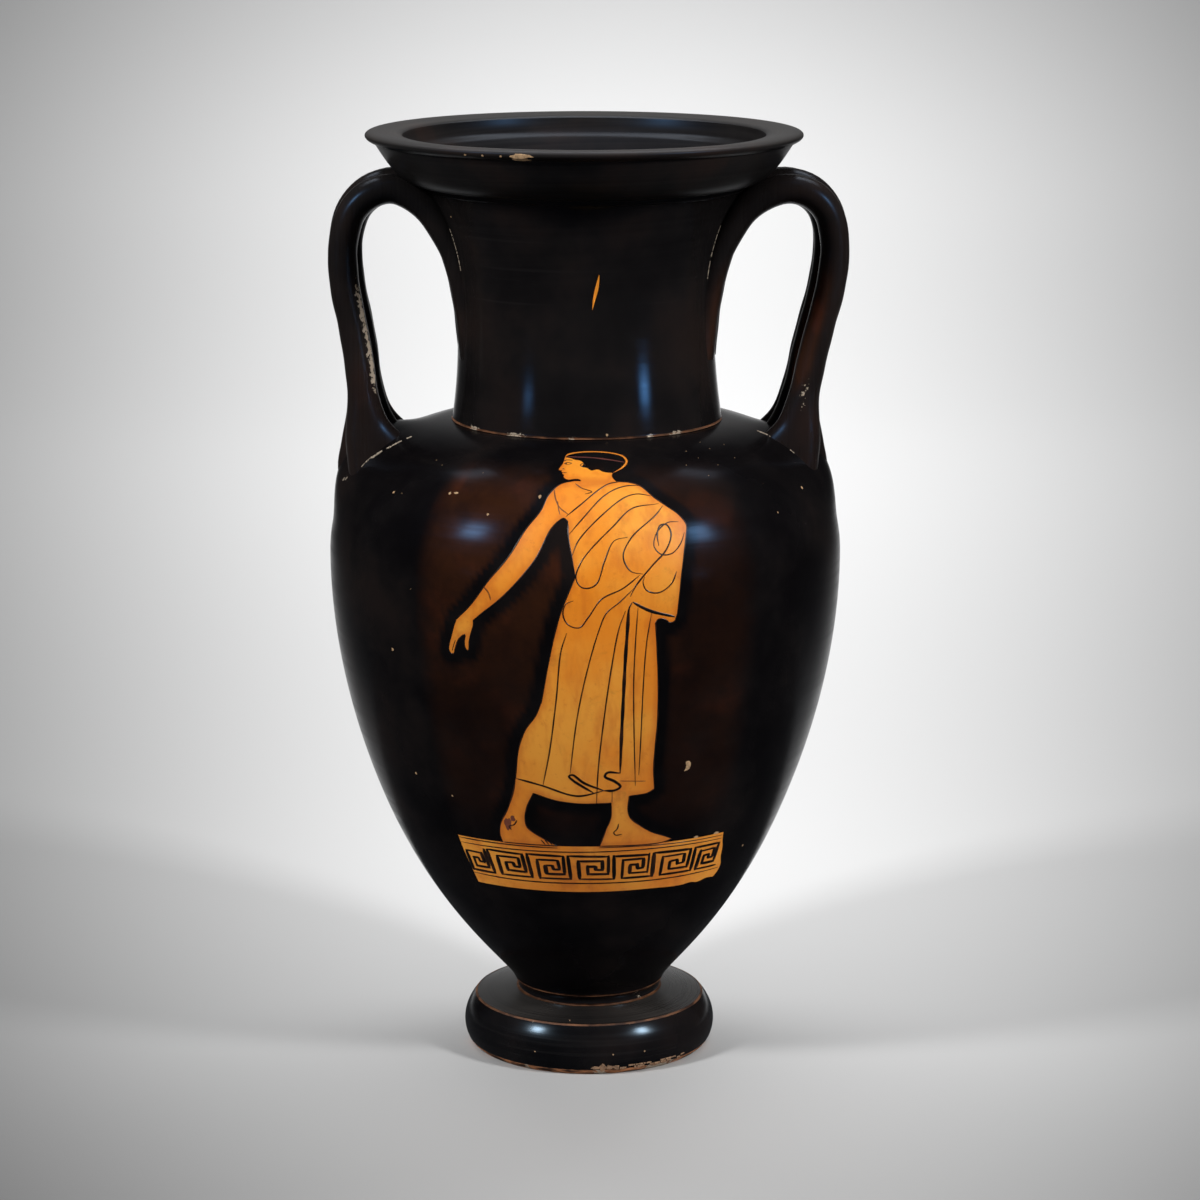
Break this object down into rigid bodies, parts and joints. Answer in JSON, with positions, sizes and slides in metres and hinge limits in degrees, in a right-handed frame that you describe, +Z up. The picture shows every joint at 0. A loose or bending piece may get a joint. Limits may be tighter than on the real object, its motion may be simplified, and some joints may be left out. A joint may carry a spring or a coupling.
{
  "type": "neck amphora",
  "caption": "Slender two-handled ceramic storage vessel with a flared mouth, narrow neck, ovoid body and a disc foot; black gloss with a bare-clay robed figure over a key band.",
  "frame": {"origin": "centre of the flat face that the foot stands on", "axes": "+Z up along the vessel's turning axis, handles along X, decorated front facing -Y"},
  "size_m": [0.1825, 0.181, 0.33],
  "materials": {
    "foot_gloss": "black gloss slip, soft sheen, bare orange clay on the resting edge",
    "fillet_gloss": "black gloss slip between two bare orange clay lines",
    "body_gloss": "black gloss slip with a bare orange clay figure and key band",
    "neck_gloss": "black gloss slip with faint wheel marks",
    "mouth_gloss": "black gloss slip, worn grey on the top of the lip",
    "handle_gloss": "black gloss slip, brown where it is thin"
  },
  "bodies": {
    "root": {"foot": "foot_gloss", "foot_fillet": "fillet_gloss", "body": "body_gloss", "neck": "neck_gloss", "mouth": "mouth_gloss", "left_handle_front_coil": "handle_gloss", "left_handle_middle_coil": "handle_gloss", "left_handle_back_coil": "handle_gloss", "right_handle_front_coil": "handle_gloss", "right_handle_middle_coil": "handle_gloss", "right_handle_back_coil": "handle_gloss"}
  },
  "joints": []
}
